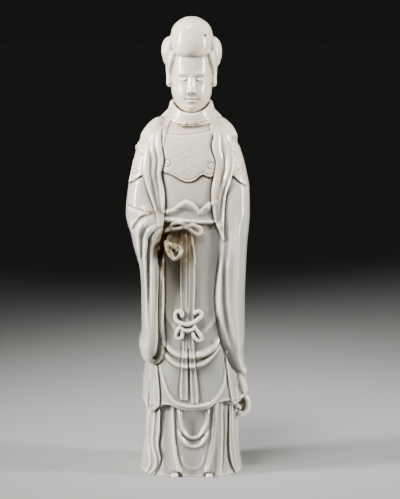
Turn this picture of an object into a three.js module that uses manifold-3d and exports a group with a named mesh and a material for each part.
// A standing Guanyin figure in white glazed porcelain, pressed and luted into one solid piece.
// Millimetres, +Z up, the figure faces -Y. Its flat underside lies at z = 0, and the origin is
// there, under the middle of the bounding box.
// Right and left are the figure's own: its right arm, with the hand, is on the -X side.
import * as THREE from "three";
import { LoftGeometry } from "three/addons/geometries/LoftGeometry.js";
import { mergeVertices } from "three/addons/utils/BufferGeometryUtils.js";
import Module from "manifold-3d";

const wasm = await Module();
wasm.setup();

// Driving heights
const TOP = 450;
const HAIRLINE = 413;
const CHIN = 359;
const COLLAR_SIDE = 368.5;
const CAPE_TOP = 352.5;
const BIB_TOP = 341;
const WAIST = 255;
const GOWN_HEM = 72;

// Where the middle of the bounding box lies from the neck's axis, which the shapes are drawn on
const MIDDLE = { x: -1.438, y: -8.133 };

// How far each layer of clay stands out, and how deep it is pressed in
const LAPEL_LIFT = 2.8;
const LAPEL_PLEAT = 1.1;
const PANEL_LIFT = 2.3;
const CAPE_LIFT = 2;
const BIB_LIFT = 1.7;
const RIBBON_LIFT = 1.7;
const EMBED = 3.6;
const LAPEL_EMBED = 12;

// Radii of the cords
const BOW_RADIUS = 1.7;
const KNOT_RADIUS = 1.7;
const LOOP_RADIUS = 1.5;
const HEM_RADIUS = 1.9;
const FINGER_RADIUS = 2.6;

// How square the level sections are: 2 is an ellipse, more is squarer
const BODY_SQUARENESS = 2.35;
const HEAD_SQUARENESS = 2.1;

// Folds die out beyond this share of a section's half width
const EDGE_FADE = 0.86;

// Long pleats behind, deepest at the foot
const PLEATS = { count: 7, depth: (z) => mix(1.9, 0.2, clamp01(z / 290)) };

const clamp01 = (value) => Math.min(1, Math.max(0, value));
const mix = (a, b, share) => a + (b - a) * share;

function smoothstep(low, high, value) {
  const share = clamp01((value - low) / (high - low));
  return share * share * (3 - 2 * share);
}

const steps = (from, to, count) =>
  Array.from({ length: count + 1 }, (_, i) => mix(from, to, i / count));

// A smooth curve through rows of [position, value...] that never overshoots them
function graph(rows) {
  const slope = (c, i) => (rows[i + 1][c] - rows[i][c]) / (rows[i + 1][0] - rows[i][0]);
  const tangent = (c, i) => {
    if (i === 0 || i === rows.length - 1) return 0;
    const [before, after] = [slope(c, i - 1), slope(c, i)];
    return before * after <= 0 ? 0 : (2 * before * after) / (before + after);
  };
  return (position) => {
    const p = Math.min(rows[rows.length - 1][0], Math.max(rows[0][0], position));
    const next = rows.findIndex((row) => row[0] >= p);
    const i = Math.max(0, next - 1);
    const gap = rows[i + 1][0] - rows[i][0];
    const t = (p - rows[i][0]) / gap;
    return rows[i].slice(1).map((value, k) => {
      const c = k + 1;
      const eased = t * t * (3 - 2 * t);
      const lean = tangent(c, i) * t * (1 - t) ** 2 - tangent(c, i + 1) * t * t * (1 - t);
      return mix(value, rows[i + 1][c], eased) + gap * lean;
    });
  };
}

// A smooth line through [x, z] points of the front
function line(points) {
  const corners = points.map(([x, z]) => new THREE.Vector3(x, 0, z));
  return new THREE.CatmullRomCurve3(corners, false, "centripetal");
}

// A soft fold drawn along a line: a ridge, or a groove where its height is below zero
const fold = (points, width, height) => ({ path: line(points).getPoints(24), width, height });

function foldHeight({ path, width, height }, x, z) {
  let nearest = width;
  for (let i = 0; i + 1 < path.length; i++) {
    const [ax, az] = [path[i].x, path[i].z];
    const [dx, dz] = [path[i + 1].x - ax, path[i + 1].z - az];
    const t = clamp01(((x - ax) * dx + (z - az) * dz) / (dx * dx + dz * dz));
    nearest = Math.min(nearest, Math.hypot(x - ax - t * dx, z - az - t * dz));
  }
  return height * (1 - (nearest / width) ** 2) ** 2;
}

// A hanging volume of cloth, with folds drawn in front and even pleats behind.
// Its rows are [z, xMin, xMax, yFront, yBack, y at xMin, y at xMax].
class Drape {
  constructor(rows, { folds = [], squareness = BODY_SQUARENESS, pleated = false } = {}) {
    this.extents = graph(rows);
    this.low = rows[0][0];
    this.high = rows[rows.length - 1][0];
    this.folds = folds;
    this.squareness = squareness;
    this.pleated = pleated;
  }

  frontRelief(x, z) {
    return this.folds.reduce((sum, drawn) => sum + foldHeight(drawn, x, z), 0);
  }

  // out is the distance from the middle as a share of the half width
  backRelief(out, z) {
    const turn = Math.asin(out ** (this.squareness / 2));
    return this.pleated ? PLEATS.depth(z) * Math.cos(PLEATS.count * turn) : 0;
  }

  // y of the front, or of the back, at a point of the x-z plane
  surface(x, z, behind = false) {
    const [xMin, xMax, yFront, yBack, yAtMin, yAtMax] = this.extents(z);
    const out = Math.abs(x - (xMin + xMax) / 2) / ((xMax - xMin) / 2);
    const yWidest = mix(yAtMin, yAtMax, clamp01((x - xMin) / (xMax - xMin)));
    if (out >= 1 || z < this.low || z > this.high) return yWidest;
    const bulge = (1 - out ** this.squareness) ** (1 / this.squareness);
    const relief = behind ? this.backRelief(out, z) : this.frontRelief(x, z);
    const faded = relief * (1 - smoothstep(EDGE_FADE, 1, out));
    return behind
      ? mix(yWidest, yBack, bulge) + faded
      : mix(yWidest, yFront, bulge) - faded;
  }

  point(angle, z) {
    const [xMin, xMax] = this.extents(z);
    const s = Math.sin(angle);
    const across = Math.sign(s) * Math.abs(s) ** (2 / this.squareness);
    const x = mix(xMin, xMax, (1 + across) / 2);
    return new THREE.Vector3(x, this.surface(x, z, Math.cos(angle) < 0), z);
  }

  // Level rings, closed by caps. settle gives a point's height, as at a curved hem.
  solid(levels, angles, settle = (p) => p.z) {
    const rings = levels.map((z) => angles.map((angle) => this.point(angle, z)));
    rings.flat().forEach((p) => p.setZ(settle(p)));
    return loft(rings);
  }
}

// Angles round a ring from the front, closer together in front by the crowding
const ringAngles = (count, crowding) =>
  Array.from({ length: count }, (_, i) => {
    const turn = (2 * Math.PI * i) / count;
    return turn - crowding * Math.sin(turn);
  });

// A closed solid from a row of rings of points, which may turn either way round
function loft(rings) {
  const middle = (ring) =>
    ring.reduce((sum, p) => sum.add(p), new THREE.Vector3()).divideScalar(ring.length);
  const start = middle(rings[0]);
  const ahead = middle(rings[1]).sub(start);
  const turning = new THREE.Vector3();
  rings[0].forEach((p, i, ring) => {
    const next = ring[(i + 1) % ring.length];
    turning.add(p.clone().sub(start).cross(next.clone().sub(start)));
  });
  const turned = turning.dot(ahead) < 0 ? rings.map((ring) => ring.toReversed()) : rings;
  return toSolid(new LoftGeometry(turned, { capStart: true, capEnd: true }));
}

function toSolid(shape) {
  const geometry = new THREE.BufferGeometry().copy(shape);
  geometry.deleteAttribute("normal");
  geometry.deleteAttribute("uv");
  const merged = mergeVertices(geometry, 1e-4);
  return new wasm.Manifold(
    new wasm.Mesh({
      numProp: 3,
      vertProperties: merged.attributes.position.array,
      triVerts: new Uint32Array(merged.index.array),
    }),
  );
}

const union = (solids) => solids.reduce((whole, solid) => whole.add(solid));

// A flat band laid on a surface between two edge lines, which run from its foot to its top.
// lift(across, along) is its height over the surface, with across and along from 0 to 1.
function band(surface, leftEdge, rightEdge, lift, { across, along, embed = EMBED }) {
  const [left, right] = [line(leftEdge), line(rightEdge)];
  const rings = steps(0, 1, along).map((v) => {
    const at = (u, height) => {
      const p = left.getPoint(v).lerp(right.getPoint(v), u);
      return p.setY(surface(p.x, p.z) - height);
    };
    return [...steps(0, 1, across).map((u) => at(u, lift(u, v))), at(1, -embed), at(0, -embed)];
  });
  return loft(rings);
}

// A flat piece laid on a surface from xFrom to xTo. heights(x) gives its levels from foot to
// rim, and lifts gives how far it stands out at each of them.
function apron(surface, [xFrom, xTo], columns, heights, lifts) {
  const rings = steps(xFrom, xTo, columns).map((x) => {
    const levels = heights(x);
    const at = (z, lift) => new THREE.Vector3(x, surface(x, z) - lift, z);
    const outer = levels.map((z, i) => at(z, lifts[i]));
    return [...outer, at(levels[levels.length - 1], -EMBED), at(levels[0], -EMBED)];
  });
  return loft(rings);
}

// A rounded strip along a path of [x, y, z] points. radii(share) gives [half width, half depth].
function strip(points, radii, sides, segments, flatTo = new THREE.Vector3(0, -1, 0)) {
  const curve = new THREE.CatmullRomCurve3(points.map((p) => new THREE.Vector3(...p)));
  const rings = steps(0, 1, segments).map((share) => {
    const tangent = curve.getTangentAt(share);
    const side = new THREE.Vector3().crossVectors(tangent, flatTo).normalize();
    const up = new THREE.Vector3().crossVectors(side, tangent).normalize();
    const [width, depth] = radii(share);
    return ringAngles(sides, 0).map((turn) =>
      curve
        .getPointAt(share)
        .addScaledVector(side, width * Math.cos(turn))
        .addScaledVector(up, depth * Math.sin(turn)),
    );
  });
  return loft(rings);
}

// A cord laid on a surface. Its points are [x, z, height of its middle over the surface].
function cordOn(surface, points, radii, sides, segments) {
  const raised = points.map(([x, z, lift]) => [x, surface(x, z) - lift, z]);
  return strip(raised, radii, sides, segments);
}

// A soft roll of cloth half sunk in a surface along a line of [x, z] points
function roll(surface, points, width, height, segments) {
  const radii = (share) => {
    const size = smoothstep(-0.12, 0.2, share) * smoothstep(-0.12, 0.2, 1 - share);
    return [mix(0.5, width, size), mix(0.4, height, size)];
  };
  const sunk = points.map(([x, z]) => [x, z, 0]);
  return cordOn(surface, sunk, radii, 5, segments);
}

// Radii that narrow over both ends to a share of the middle
function tapered(width, depth, end) {
  return (share) => {
    const size = mix(end, 1, Math.min(1, 5 * share, 5 * (1 - share)));
    return [width * size, depth * size];
  };
}

function ball([x, y, z], [rx, ry, rz], sides, rings) {
  const sections = steps(0.94, 0.06, rings).map((share) =>
    ringAngles(sides, 0).map((turn) => {
      const spot = new THREE.Vector3().setFromSphericalCoords(1, Math.PI * share, turn);
      return new THREE.Vector3(x + rx * spot.x, y - ry * spot.z, z + rz * spot.y);
    }),
  );
  return loft(sections);
}

// Gown: the long robe and the open mantle over it, from the neck to the hem
const gown = new Drape(
  [
    [66, -45, 49, -38, 33, 0, 0],
    [72, -49, 54.5, -42.5, 36, 0, 0],
    [90, -48.5, 53, -41.5, 35, 0, 0],
    [110, -46, 50.5, -40.5, 34, 0, 0],
    [165, -45, 49, -39, 33, 0, 0],
    [235, -46, 49, -36.5, 32, 0, 0],
    [280, -48, 48, -34, 31, 0, 0],
    [305, -48, 46, -32, 29.5, 0, 0],
    [322, -48.5, 45.5, -29.5, 27.5, 0, 0],
    [335, -47, 43.5, -27, 24.5, 0, 0],
    [344, -41.5, 39, -24, 21, 0, 0],
    [351, -34, 31.5, -20.5, 18, 0, 0],
    [357, -22, 21.5, -16, 14.5, 0, 0],
  ],
  {
    pleated: true,
    folds: [
      // Side folds of the mantle
      fold([[-41, 66], [-40.5, 80], [-40, 100]], 4.5, -2.2),
      fold([[-35, 66], [-36, 84], [-37, 104]], 4.5, 1.2),
      fold([[46, 118], [48, 100], [51, 76]], 4.5, -2),
      // Swags that fall from the hips to the knot
      fold([[-28, 172], [-23, 158], [-14, 144]], 6, 0.9),
      fold([[34, 170], [23, 154], [12, 141]], 6, 0.9),
      // Hollow of the tongue-shaped apron
      fold([[2, 108], [2, 80]], 26, -1.4),
    ],
  },
);
const onGown = (x, z) => gown.surface(x, z);

// Rise or drop of the gown's hem in front, lowest at the middle and at the mantle's corner
const hemDrop = graph([
  [-50, 4], [-45, -3], [-41, -6.5], [-37, -5], [-31, 0], [-24, 2], [-18, 1], [-13, -1.5],
  [-6, -3], [6, -3], [18, -1], [26, 4], [39, 5], [42, 0], [49, 1.5], [56, 4],
]);

function gownSolid() {
  const levels = [72, 82, 98, 116, 140, 175, 215, 250, 275, 300, 320, 334, 345, 357];
  return gown.solid(levels, ringAngles(32, 0.1), ({ x, y, z }) => {
    const inFront = smoothstep(0, 12, -y);
    const nearHem = 1 - smoothstep(GOWN_HEM, GOWN_HEM + 30, z);
    return z + hemDrop(x)[0] * inFront * nearHem;
  });
}

// The mantle's two front panels
function mantlePanels() {
  const panel = (edge, side) =>
    band(onGown, edge, side, (u) => PANEL_LIFT * (1 - 0.3 * Math.sin(Math.PI * u)), {
      across: 3,
      along: 5,
    });
  return panel(
    [[-31, 72.6], [-30.3, 82], [-32, 98], [-33.5, 113]],
    [[-40, 68], [-40, 82], [-41, 98], [-41, 113]],
  ).add(
    panel(
      [[47, 76], [46, 90], [45, 104], [44, 125]],
      [[40.4, 76], [38.4, 88], [36.4, 103], [34.2, 125]],
    ),
  );
}

// The robe's two hanging tucks below the knees, and the rolled rim of its apron
function gownRolls() {
  const tuck = [[-27, 139], [-20, 130], [-8, 125.4], [5, 125.4], [17, 129], [30, 142]];
  const lowTuck = [[-27, 128], [-20, 120.6], [-9, 115.6], [5, 116], [16, 119.4], [28, 131]];
  const rim = [
    [-30, 112], [-26.5, 97], [-22, 85], [-15, 76], [-5, 72.6], [8, 72.4], [18, 74.4],
    [26, 81], [31.5, 91], [33.4, 102], [33.6, 115],
  ];
  return union([
    roll(onGown, tuck, 4, 2.6, 9),
    roll(onGown, lowTuck, 3, 2.2, 9),
    roll(onGown, rim, 2.6, 2.2, 15),
  ]);
}

// Underskirt: pleated cloth from inside the gown's hem to the ground
const underskirt = new Drape(
  [
    [0, -50.5, 51.5, -41.5, 35, 0, 0],
    [15, -49.5, 49.5, -40, 34, 0, 0],
    [32, -47, 48.5, -38.5, 32.5, 0, 0],
    [80, -45, 48, -36.5, 31, 0, 0],
  ],
  {
    pleated: true,
    folds: [
      // Hollow cloth between the ridges
      fold([[-23, 80], [-22, 40], [-22, -4]], 7, -1.2),
      fold([[3, 90], [3, -4]], 14, -2.2),
      // Upright pleats beside them
      fold([[27, 80], [28, 40], [27, -4]], 4.5, 1.8),
      fold([[32.5, 84], [33, 42], [32, -8]], 4, -2.2),
    ],
  },
);
const onUnderskirt = (x, z) => underskirt.surface(x, z);

// Ridges that frame the middle of the underskirt, and the folds that hang between them
function underskirtRolls() {
  const ridge = [[-16.5, 78], [-15.5, 46], [-13, 26], [-8.6, 7]];
  const leftRidge = [[22.5, 78], [21.4, 46], [18.8, 25], [13, 7]];
  const high = [[-12.6, 66], [-10, 50], [-4.4, 41.4], [3, 37.4], [10, 40.4], [15.8, 49], [18, 64]];
  const middle = [[-13, 46], [-8, 35.5], [-1, 29.8], [6, 28.8], [13, 33.5], [19, 42]];
  const low = [[-11.8, 33], [-9, 17], [-3, 9], [3, 7], [9.5, 9.5], [15, 20]];
  return union([
    roll(onUnderskirt, ridge, 2.6, 2.4, 6),
    roll(onUnderskirt, leftRidge, 2.8, 2.6, 6),
    roll(onUnderskirt, high, 2.2, 1.8, 9),
    roll(onUnderskirt, middle, 2.2, 1.8, 7),
    roll(onUnderskirt, low, 2, 1.6, 7),
  ]);
}

// The mantle's ends, which hang at both sides down to the ground
function mantleEnds() {
  const size = { across: 3, along: 5 };
  const right = band(
    onUnderskirt,
    [[-36, 0], [-31.5, 10], [-29.5, 33], [-30.5, 70]],
    [[-46, 0], [-44.4, 12], [-43, 33], [-43, 70]],
    (u) => PANEL_LIFT + 0.9 * Math.cos(4.5 * Math.PI * u),
    size,
  );
  const left = band(
    onUnderskirt,
    [[49, 0], [47, 18], [46, 44], [46, 74]],
    [[45, 0], [40, 13], [38.4, 30], [38, 74]],
    () => PANEL_LIFT,
    size,
  );
  return right.add(left);
}

// Right arm in its long sleeve, bent at the elbow
const rightArm = new Drape(
  [
    [113, -44, -33, -30, -6, -18, -22],
    [116, -48, -29, -35, 0, -14, -22],
    [121, -50.3, -26.8, -38.5, 6, -10, -26],
    [131, -51.7, -25.3, -41, 11, -8, -28],
    [145, -49, -25.3, -42, 14, -6, -29],
    [186, -49.2, -26.3, -43.5, 18, -5, -29],
    [205, -50.4, -27.5, -45.5, 19, -5, -30],
    [229, -56.6, -29.5, -47, 21, -6, -32],
    [241, -59.2, -28, -46.5, 21, -6, -32],
    [250, -62.3, -26, -44, 22, -6, -34],
    [259, -63.8, -27, -39.5, 22, -5, -26],
    [268, -63.4, -29, -34.5, 22, -4, -16],
    [282, -61.8, -29, -30, 22, -2, -10],
    [306, -57.2, -25, -26, 21, 0, -4],
    [322, -53, -22, -23, 19, 0, -2],
    [335, -46.5, -16, -17, 15, 0, 0],
  ],
  { folds: [fold([[-66, 270], [-60, 269], [-49, 267.5], [-37, 264.5]], 4, -2.2)] },
);

// Left arm, hidden in a sleeve that hangs straight
const leftArm = new Drape(
  [
    [98, 49, 54.5, -20, -8, -14, -14],
    [103, 44.5, 55.8, -26, 0, -16, -10],
    [110, 41, 53.8, -30, 6, -20, -8],
    [125, 34.5, 52.4, -35.5, 14, -27, -5],
    [136, 30.5, 53.4, -38, 17, -30, -4],
    [175, 24, 53.4, -41, 20, -33, -3],
    [200, 25.5, 54.2, -41, 21, -33, -3],
    [226, 28.5, 55.3, -39.5, 22, -32, -3],
    [259, 28, 57.9, -36, 22, -26, -2],
    [283, 28, 57.4, -32, 22, -20, -2],
    [300, 27, 54.6, -29, 21, -14, 0],
    [322, 24, 48.5, -23, 18, -4, 0],
    [335, 16, 43, -17, 15, 0, 0],
  ],
  {
    folds: [
      fold([[36, 262], [38, 232], [35, 196], [38, 158], [46, 122]], 4, -1.4),
      fold([[31, 230], [29, 200], [28, 170], [33, 142]], 4, 1.6),
      fold([[44, 268], [45, 220], [46, 170], [49, 120]], 5, 1),
    ],
  },
);

const robe = [gown, rightArm, leftArm];
const onRobe = (x, z) => Math.min(...robe.map((volume) => volume.surface(x, z)));

function arms() {
  const rightLevels = [113, 117, 124, 140, 165, 195, 220, 238, 252, 264, 269, 277, 294, 313, 335];
  const leftLevels = [98, 103, 113, 125, 140, 165, 200, 240, 270, 298, 316, 335];
  const forearm = strip(
    [[-50, -14, 258], [-38, -30, 252], [-27, -39, 246], [-20, -43, 243]],
    (share) => [mix(14, 7.5, share), mix(12, 6, share)],
    7,
    3,
  );
  return rightArm
    .solid(rightLevels, ringAngles(18, 0.4))
    .add(leftArm.solid(leftLevels, ringAngles(14, 0.3)))
    .add(forearm);
}

// Folds that fall from the bent elbow and the forearm down the right sleeve
function sleeveRolls() {
  const onSleeve = (x, z) => rightArm.surface(x, z);
  return union([
    roll(onSleeve, [[-34, 267], [-46, 263.5], [-54, 256], [-59, 244], [-58, 230]], 3, 2.6, 6),
    roll(onSleeve, [[-30, 259.5], [-41, 255.5], [-48.4, 244], [-50, 226], [-48.5, 186]], 2.8, 2.8, 7),
    roll(onSleeve, [[-27, 253.5], [-37, 249], [-42.4, 240], [-43.8, 224], [-43, 180]], 2.6, 2.8, 7),
    roll(onSleeve, [[-24, 247.5], [-31.5, 244], [-36, 236], [-37.2, 222], [-36.6, 176]], 2.6, 2.6, 7),
  ]);
}

// Long mouth of the right sleeve: a slit, widest at the hand, between outer cloth and hem
function sleeveMouth() {
  const path = [
    [-21, -50, 240], [-27, -49, 230], [-30, -47, 214], [-31.5, -46, 185],
    [-31.5, -45, 152], [-30.5, -44, 133], [-34, -42, 118],
  ];
  const radii = (share) => {
    const nearHand = 1 - smoothstep(0, 0.32, share);
    const nearFoot = smoothstep(0.75, 0.92, share);
    return [1 + 4.5 * nearHand + 1.4 * nearFoot, 7];
  };
  return strip(path, radii, 6, 10);
}

// The sleeve's rolled hem, which turns round the foot of the mouth
function sleeveHem() {
  const path = [
    [-17, 247, 0], [-24, 244, 0.4], [-27.5, 237, 0.4], [-27.2, 224, 0.4], [-27.4, 200, 0.4],
    [-27.6, 152, 0.4], [-26.4, 134, 0.4], [-28, 121, 0], [-33, 114.5, -0.6], [-41, 114.5, -1.2],
  ];
  const radii = (share) => [HEM_RADIUS, mix(HEM_RADIUS, 3.2, smoothstep(0, 0.3, share))];
  return cordOn(onRobe, path, radii, 4, 10);
}

// Foot of the cape by the angle round the body from the front, in degrees
const capeFoot = graph([
  [-180, 286], [-150, 290], [-120, 306], [-95, 321], [-78, 325], [-66, 320], [-50, 314], [-38, 310],
  [38, 310], [48, 316], [62, 330], [74, 336], [90, 334], [120, 312], [150, 292], [180, 286],
]);

// Distance from the axis out to the robe at an angle and a height
function robeRadius(turn, z) {
  const inside = (radius) => {
    const [x, y] = [radius * Math.sin(turn), -radius * Math.cos(turn)];
    return robe.some((body) => y > body.surface(x, z) && y < body.surface(x, z, true));
  };
  return steps(80, 0, 320).find(inside) ?? 0;
}

// Cape over both shoulders and the upper back, open in front between the lapels
function cape() {
  const [openFrom, openTo] = [-44, 40];
  const degrees = [
    ...steps(-176, openFrom, 12),
    ...[openFrom + 0.6, -22, 0, 20, openTo - 0.6],
    ...steps(openTo, 176, 12),
  ];
  const rings = [0, 0.25, 0.55, 0.82, 1].map((share) =>
    degrees.map((degree) => {
      const turn = (degree * Math.PI) / 180;
      const z = mix(capeFoot(degree)[0], CAPE_TOP, share);
      const open = degree > openFrom && degree < openTo;
      const radius = robeRadius(turn, z) + (open ? -EMBED : CAPE_LIFT);
      return new THREE.Vector3(radius * Math.sin(turn), -radius * Math.cos(turn), z);
    }),
  );
  return loft(rings);
}

// Lapels: the long ends of the cape in front, each with soft pleats that start above its point
function lapels() {
  const lift = (u, v) => {
    const depth = LAPEL_PLEAT * smoothstep(0.02, 0.25, v) * (1 - 0.6 * smoothstep(0.8, 1, v));
    return LAPEL_LIFT + depth * Math.cos(5 * Math.PI * u);
  };
  const size = { across: 6, along: 9, embed: LAPEL_EMBED };
  const right = band(
    onRobe,
    [[-31, 255], [-35, 266], [-42, 286], [-46, 302], [-45, 314], [-45, 325], [-38, 337]],
    [[-27.5, 254], [-24.8, 266], [-25.5, 284], [-27.8, 299], [-26, 313], [-28.5, 331], [-27.5, 346]],
    lift,
    size,
  );
  const left = band(
    onRobe,
    [[28.5, 238], [21.5, 262], [20, 284], [23, 301], [24.5, 310], [20.5, 326], [22.5, 337], [25, 347]],
    [[32, 238], [32, 258], [34, 277], [37, 288], [41, 304], [42, 318], [41.5, 328], [36, 339]],
    lift,
    size,
  );
  return right.add(left);
}

// Lobed foot of the bib
const bibFoot = graph([
  [-30, 303], [-25, 301.5], [-18, 299], [-14, 297], [-9, 294], [-2, 292.2],
  [4, 294], [9, 298], [12, 299.2], [16, 297.2], [21, 297], [26, 299],
]);

// Cloud collar: the bib on the chest, and its points on both upper arms
function cloudCollar() {
  const heights = (x) => {
    const [foot] = bibFoot(x);
    return [foot, foot + 1, foot + 14, BIB_TOP];
  };
  const bib = apron(onGown, [-30, 26], 15, heights, [BIB_LIFT, BIB_LIFT, BIB_LIFT, 0.2]);
  const point = (foot, top) => band(onRobe, foot, top, () => BIB_LIFT, { across: 2, along: 3 });
  return union([
    bib,
    point([[-60.5, 289.5], [-54, 294], [-46, 299]], [[-56, 312], [-50, 316], [-44, 318]]),
    point([[40, 299.5], [47, 292.5], [55.5, 288]], [[38, 318], [44, 316], [50, 313]]),
  ]);
}

// Rim of the sash, which rises to a soft peak in the middle
const sashRim = graph([
  [-27, 264.5], [-22, 266], [-15, 268.5], [-10, 272.5], [-4.6, 274.8], [1, 273.3],
  [5, 269.8], [9, 265.8], [13, 269], [19, 272.8], [24, 275],
]);

// Sash round the waist, with the cord that ties it
function sash() {
  const foot = WAIST - 1.4;
  const heights = (x) => {
    const [rim] = sashRim(x);
    return [foot, mix(foot, rim, 0.45), rim - 1.6, rim];
  };
  const cord = cordOn(
    onGown,
    [[-30, 255.5, 1], [-16, 255.6, 1.3], [-4, 254.8, 1.6], [8, 254.2, 1.4], [23.5, 253.8, 1]],
    (share) => [mix(2.5, 1.4, share), 2.4],
    5,
    6,
  );
  return apron(onGown, [-28, 25], 14, heights, [1, 0.8, 2.6, 2]).add(cord);
}

// Bow at the waist: a knot between two loops
function bow() {
  const loop = (points) => cordOn(onRobe, points, tapered(BOW_RADIUS, 1.5, 0.4), 4, 8);
  return union([
    ball([-4.2, onRobe(-4.2, 249.6) - 2.4, 249.6], [3, 2.6, 3], 6, 3),
    loop([[-3, 250, 3], [4, 250.4, 4], [9.6, 246.5, 3.4], [8.6, 242, 3], [2.5, 243.6, 2.8], [-2.5, 248, 3]]),
    loop([[-5, 250.5, 3], [-10, 252.8, 4], [-16, 251.5, 3.6], [-18.6, 247, 3], [-13, 247, 2.8], [-6, 249, 3]]),
  ]);
}

// Two long ribbons that hang from the bow and spread towards their ends
function ribbons() {
  const ribbon = (left, right) =>
    band(onGown, left, right, () => RIBBON_LIFT, { across: 1, along: 9 });
  return ribbon(
    [[-10, 78.5], [-9.3, 110], [-7.6, 130], [-8.4, 156], [-10.2, 185], [-10.6, 217], [-8, 249]],
    [[-3.4, 78.5], [-3.5, 110], [-3.2, 130], [-2.8, 156], [-3.1, 185], [-3.2, 217], [-4, 249]],
  ).add(
    ribbon(
      [[0.8, 75], [-0.6, 110], [-1.9, 130], [-1.8, 156], [-2.2, 185], [-2.2, 217], [-3.6, 249]],
      [[7.2, 75], [4.6, 110], [2.8, 130], [2.6, 156], [4.2, 185], [4.2, 217], [-0.6, 249]],
    ),
  );
}

// Cloud-headed knot that holds the ribbons: two upturned crescents over two loops
function cloudKnot() {
  const cord = (points, lift, radius, segments) => {
    const raised = points.map(([x, z]) => [x, z, lift]);
    return cordOn(onGown, raised, tapered(radius, radius, 0.6), 4, segments);
  };
  const crescent = [
    [-8.4, 160.5], [-8.6, 164.5], [-11.2, 167.2], [-14.2, 165.4], [-15, 161.2], [-13.6, 157.5],
    [-8.5, 155], [-3.3, 154.2], [2.4, 155.9], [6.7, 159], [10, 162], [10.2, 165.3], [7.6, 167.2],
    [4.6, 166], [4.2, 163.4],
  ];
  const lowCrescent = [[-11.6, 153], [-8.5, 149.7], [-3.3, 147.9], [2.4, 149.7], [4.8, 153.3]];
  const rightLoop = [[-10.6, 152], [-14, 144.8], [-13.2, 140.6], [-10, 140.2], [-8.2, 143.6], [-8.6, 148.4]];
  const leftLoop = [[4, 150.6], [8.6, 144.6], [10.8, 140], [8, 138], [4, 141], [2, 146.6]];
  return union([
    cord(crescent, 2.6, KNOT_RADIUS, 19),
    cord(lowCrescent, 2.6, LOOP_RADIUS, 6),
    cord(rightLoop, 2.2, LOOP_RADIUS, 7),
    cord(leftLoop, 2.2, LOOP_RADIUS, 7),
  ]);
}

// Right hand: a loose fist whose thumb and first finger close to a ring
function hand() {
  const finger = (points, radius) => strip(points, tapered(radius, radius, 0.7), 5, 3);
  return union([
    ball([-20.5, -44.5, 231.5], [5.6, 6, 8.5], 7, 4),
    ball([-14.5, -43.5, 226.5], [6, 5, 6.5], 6, 3),
    finger([[-23, -48, 236], [-22.6, -50.5, 227], [-18, -51.5, 220.5], [-14.2, -51, 219.4]], FINGER_RADIUS),
    finger([[-20.5, -46.5, 237], [-15, -50, 233.5], [-10.8, -51.3, 228.6]], 0.9 * FINGER_RADIUS),
    finger([[-14.4, -51, 219.6], [-9.5, -51, 224], [-7, -49, 230.5]], 0.8 * FINGER_RADIUS),
    finger([[-22, -45, 226], [-17, -46.5, 219], [-11, -45, 220], [-9, -43, 226]], FINGER_RADIUS),
  ]);
}

// Rolled corner of the mantle beside the left hem
function mantleCurl() {
  const path = [
    [52, -14, 77], [57, -13, 72.5], [57.6, -13, 64], [53.6, -14, 58], [48.4, -15.5, 60], [46.6, -17, 66],
  ];
  return strip(path, tapered(2.7, 4.5, 0.7), 6, 7);
}

// Tips of both shoes under the hem
const shoes = () => union([-16, 18].map((x) => ball([x, -39.5, 2.2], [5.4, 5.2, 3.8], 7, 3)));

// Face on plain thirds: chin, base of the nose, brow and hairline are evenly spaced
const FACE = {
  middle: 0.8,
  brow: mix(CHIN, HAIRLINE, 2 / 3),
  eye: mix(CHIN, HAIRLINE, 0.575),
  noseBase: mix(CHIN, HAIRLINE, 1 / 3),
  mouth: mix(CHIN, HAIRLINE, 0.225),
};

function faceRelief(x, z) {
  const out = x - FACE.middle;
  const mound = (cx, cz, rx, rz) => Math.exp(-(((Math.abs(out) - cx) / rx) ** 2) - ((z - cz) / rz) ** 2);
  const down = clamp01((FACE.brow - z) / (FACE.brow - FACE.noseBase - 2));
  const bridge = (0.6 + 4 * down) * Math.exp(-((out / (1.7 + 1.5 * down)) ** 2));
  const underBrow = 1 - smoothstep(FACE.brow - 2, FACE.brow + 5, z);
  const nose = bridge * underBrow * smoothstep(FACE.noseBase - 1.5, FACE.noseBase + 2, z);
  const socket = 1.7 * mound(8.2, FACE.eye + 1.6, 5, 3.2);
  const lid = mound(8.4, FACE.eye - 0.6, 4.4, 1.9);
  const cheek = 0.9 * mound(10, FACE.noseBase - 1, 6, 7);
  const lips = 1.2 * mound(0, FACE.mouth, 5, 2.2);
  const chin = 1.4 * mound(0, CHIN + 4.5, 5.5, 3.5);
  return nose - socket + lid + cheek + lips + chin;
}

const head = new Drape(
  [
    [357.6, -4, 5.6, -20, -4, -8, -8],
    [359.5, -8.2, 9.8, -23, 2, -7, -7],
    [363, -12.2, 13.8, -25, 8, -5, -5],
    [369, -16, 17.6, -26, 13, -3, -3],
    [377, -18.6, 20.2, -26.4, 16, -2, -2],
    [396, -19.8, 21.4, -26, 19, 0, 0],
    [414, -19, 20.6, -24, 20, 0, 0],
    [424, -17, 19, -20, 18, 0, 0],
  ],
  { squareness: HEAD_SQUARENESS },
);
head.frontRelief = faceRelief;

// Hair drawn up into a tall smooth topknot
const topknot = new Drape(
  [
    [412.4, -15, 17, -23.4, 14, -2, -2],
    [413.6, -17.6, 19.6, -26, 17, -2, -2],
    [418, -19.4, 21.6, -28, 20, -2, -2],
    [425, -20.2, 22.3, -28.4, 21, -2, -2],
    [437, -18.4, 20.2, -25.4, 18, -2, -2],
    [443, -14.9, 16.8, -21.6, 14.6, -2, -2],
    [447.4, -9, 10.8, -14.6, 9, -2, -2],
    [TOP, -1.4, 3.4, -4.4, 0.4, -2, -2],
  ],
  { squareness: HEAD_SQUARENESS },
);

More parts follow.
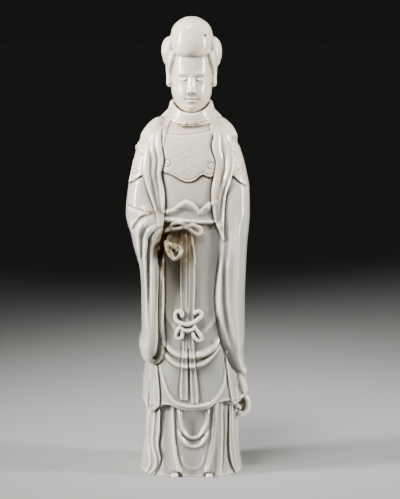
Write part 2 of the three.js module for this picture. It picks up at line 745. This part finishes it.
// Hair gathered behind, down to the collar
const nape = new Drape(
  [
    [352, -17, 18.5, -6, 15, 2, 2],
    [370, -17, 18.5, -6, 15.5, 2, 2],
    [390, -20, 22, -5, 20, 4, 4],
    [405, -21.5, 23.5, -7, 24, 4, 4],
    [418, -21, 23, -10, 25.5, 4, 4],
    [430, -17, 19, -10, 22, 4, 4],
    [439, -9, 11, -4, 15, 4, 4],
  ],
  { squareness: HEAD_SQUARENESS },
);

// Ear with the long lobe of a holy figure
function ear(side) {
  const path = [[22.3, -1, 409], [21.9, -3.5, 399], [21.3, -5, 390], [21.9, -6, 382.6]];
  const sided = path.map(([out, y, z]) => [FACE.middle + side * out, y, z]);
  const radii = (share) => [mix(4.6, 3.6, share), mix(3.2, 2.3, share)];
  return strip(sided, radii, 6, 3, new THREE.Vector3(1, 0, 0));
}

function headAndHair() {
  const faceLevels = [357.6, 360, 364, 368.5, 371.5, 376, 379.5, 385, 390, 395, 403, 424];
  return union([
    head.solid(faceLevels, ringAngles(16, 0.62)),
    topknot.solid([412.4, 413.6, 419, 427, 435, 442, 447.2, TOP], ringAngles(16, 0.2)),
    nape.solid([352, 370, 390, 405, 420, 432, 439], ringAngles(10, -0.3)),
    // Puffs of hair over both ears
    ball([-19.6, 0, 417.2], [9, 14, 13.6], 9, 5),
    ball([21.4, 0, 415.6], [9, 14, 15], 9, 5),
    ear(-1),
    ear(1),
  ]);
}

// Stand-up collar round the neck, lower under the chin than at the sides
function collar() {
  const ring = (rx, front, back, height) =>
    ringAngles(15, 0).map((turn) => {
      const forward = Math.cos(turn);
      const y = -forward * (forward > 0 ? front : back);
      return new THREE.Vector3(rx * Math.sin(turn), y, height(forward));
    });
  const rim = (forward) =>
    forward > 0 ? mix(COLLAR_SIDE, 357.5, forward ** 1.4) : mix(COLLAR_SIDE, 372, -forward);
  const foot = (forward) => mix(354, forward > 0 ? 347 : 352, Math.abs(forward));
  const wall = loft([
    ring(27, 20, 18, () => 344),
    ring(29.5, 26.5, 21.5, foot),
    ring(22.6, 24.6, 20.6, (forward) => mix(foot(forward), rim(forward), 0.45)),
    ring(20.2, 23.4, 20, rim),
  ]);
  const hollow = loft([
    ring(16, 17, 14, () => 353),
    ring(17.6, 20.6, 17.4, rim),
    ring(18.4, 21.4, 18, (forward) => rim(forward) + 6),
  ]);
  return wall.subtract(hollow);
}

// Small fastening tab at the middle of the collar's foot
function collarTab() {
  const onCollar = (x, z) => -25.6 + 0.12 * (352 - z);
  const size = { across: 2, along: 2 };
  return band(onCollar, [[-8, 345.6], [-8, 348.8]], [[2.4, 345.4], [2.4, 348.6]], () => 1.5, size);
}

function neck() {
  const rows = [
    [346, -13, 14, -12, 12, 0, 0],
    [368, -13, 14, -13, 12, 0, 0],
  ];
  return new Drape(rows, { squareness: 2 }).solid([346, 368], ringAngles(12, 0));
}

// A slab under the ground plane, which trims the foot flat
function ground() {
  const reach = 120;
  const level = (z) =>
    ringAngles(4, 0).map((turn) => new THREE.Vector3(reach * Math.sin(turn), reach * Math.cos(turn), z));
  return loft([level(-20), level(0)]);
}

function figure() {
  const dressed = union([
    gownSolid(),
    mantlePanels(),
    gownRolls(),
    underskirt.solid([0, 12, 36, 80], ringAngles(36, 0.15)),
    underskirtRolls(),
    mantleEnds(),
    mantleCurl(),
    shoes(),
    arms(),
    sleeveRolls(),
    sleeveHem(),
    cape(),
    lapels(),
    cloudCollar(),
    sash(),
    neck(),
    collar(),
    collarTab(),
    headAndHair(),
  ]);
  const opened = dressed.subtract(sleeveMouth());
  return union([opened, ribbons(), bow(), cloudKnot(), hand()]).subtract(ground());
}

// Clear, slightly warm glaze over a white body
const porcelain = () =>
  new THREE.MeshStandardMaterial({ color: "#dcd9d0", roughness: 0.16, metalness: 0 });

function toMesh(solid, name, material) {
  const { vertProperties, triVerts } = solid.getMesh();
  const geometry = new THREE.BufferGeometry();
  geometry.setAttribute("position", new THREE.BufferAttribute(vertProperties, 3));
  geometry.setIndex(new THREE.BufferAttribute(triVerts, 1));
  geometry.translate(-MIDDLE.x, -MIDDLE.y, 0);
  geometry.computeVertexNormals();
  const mesh = new THREE.Mesh(geometry, material);
  mesh.name = name;
  return mesh;
}

const group = new THREE.Group();
group.add(toMesh(figure(), "figure", porcelain()));

export default group;
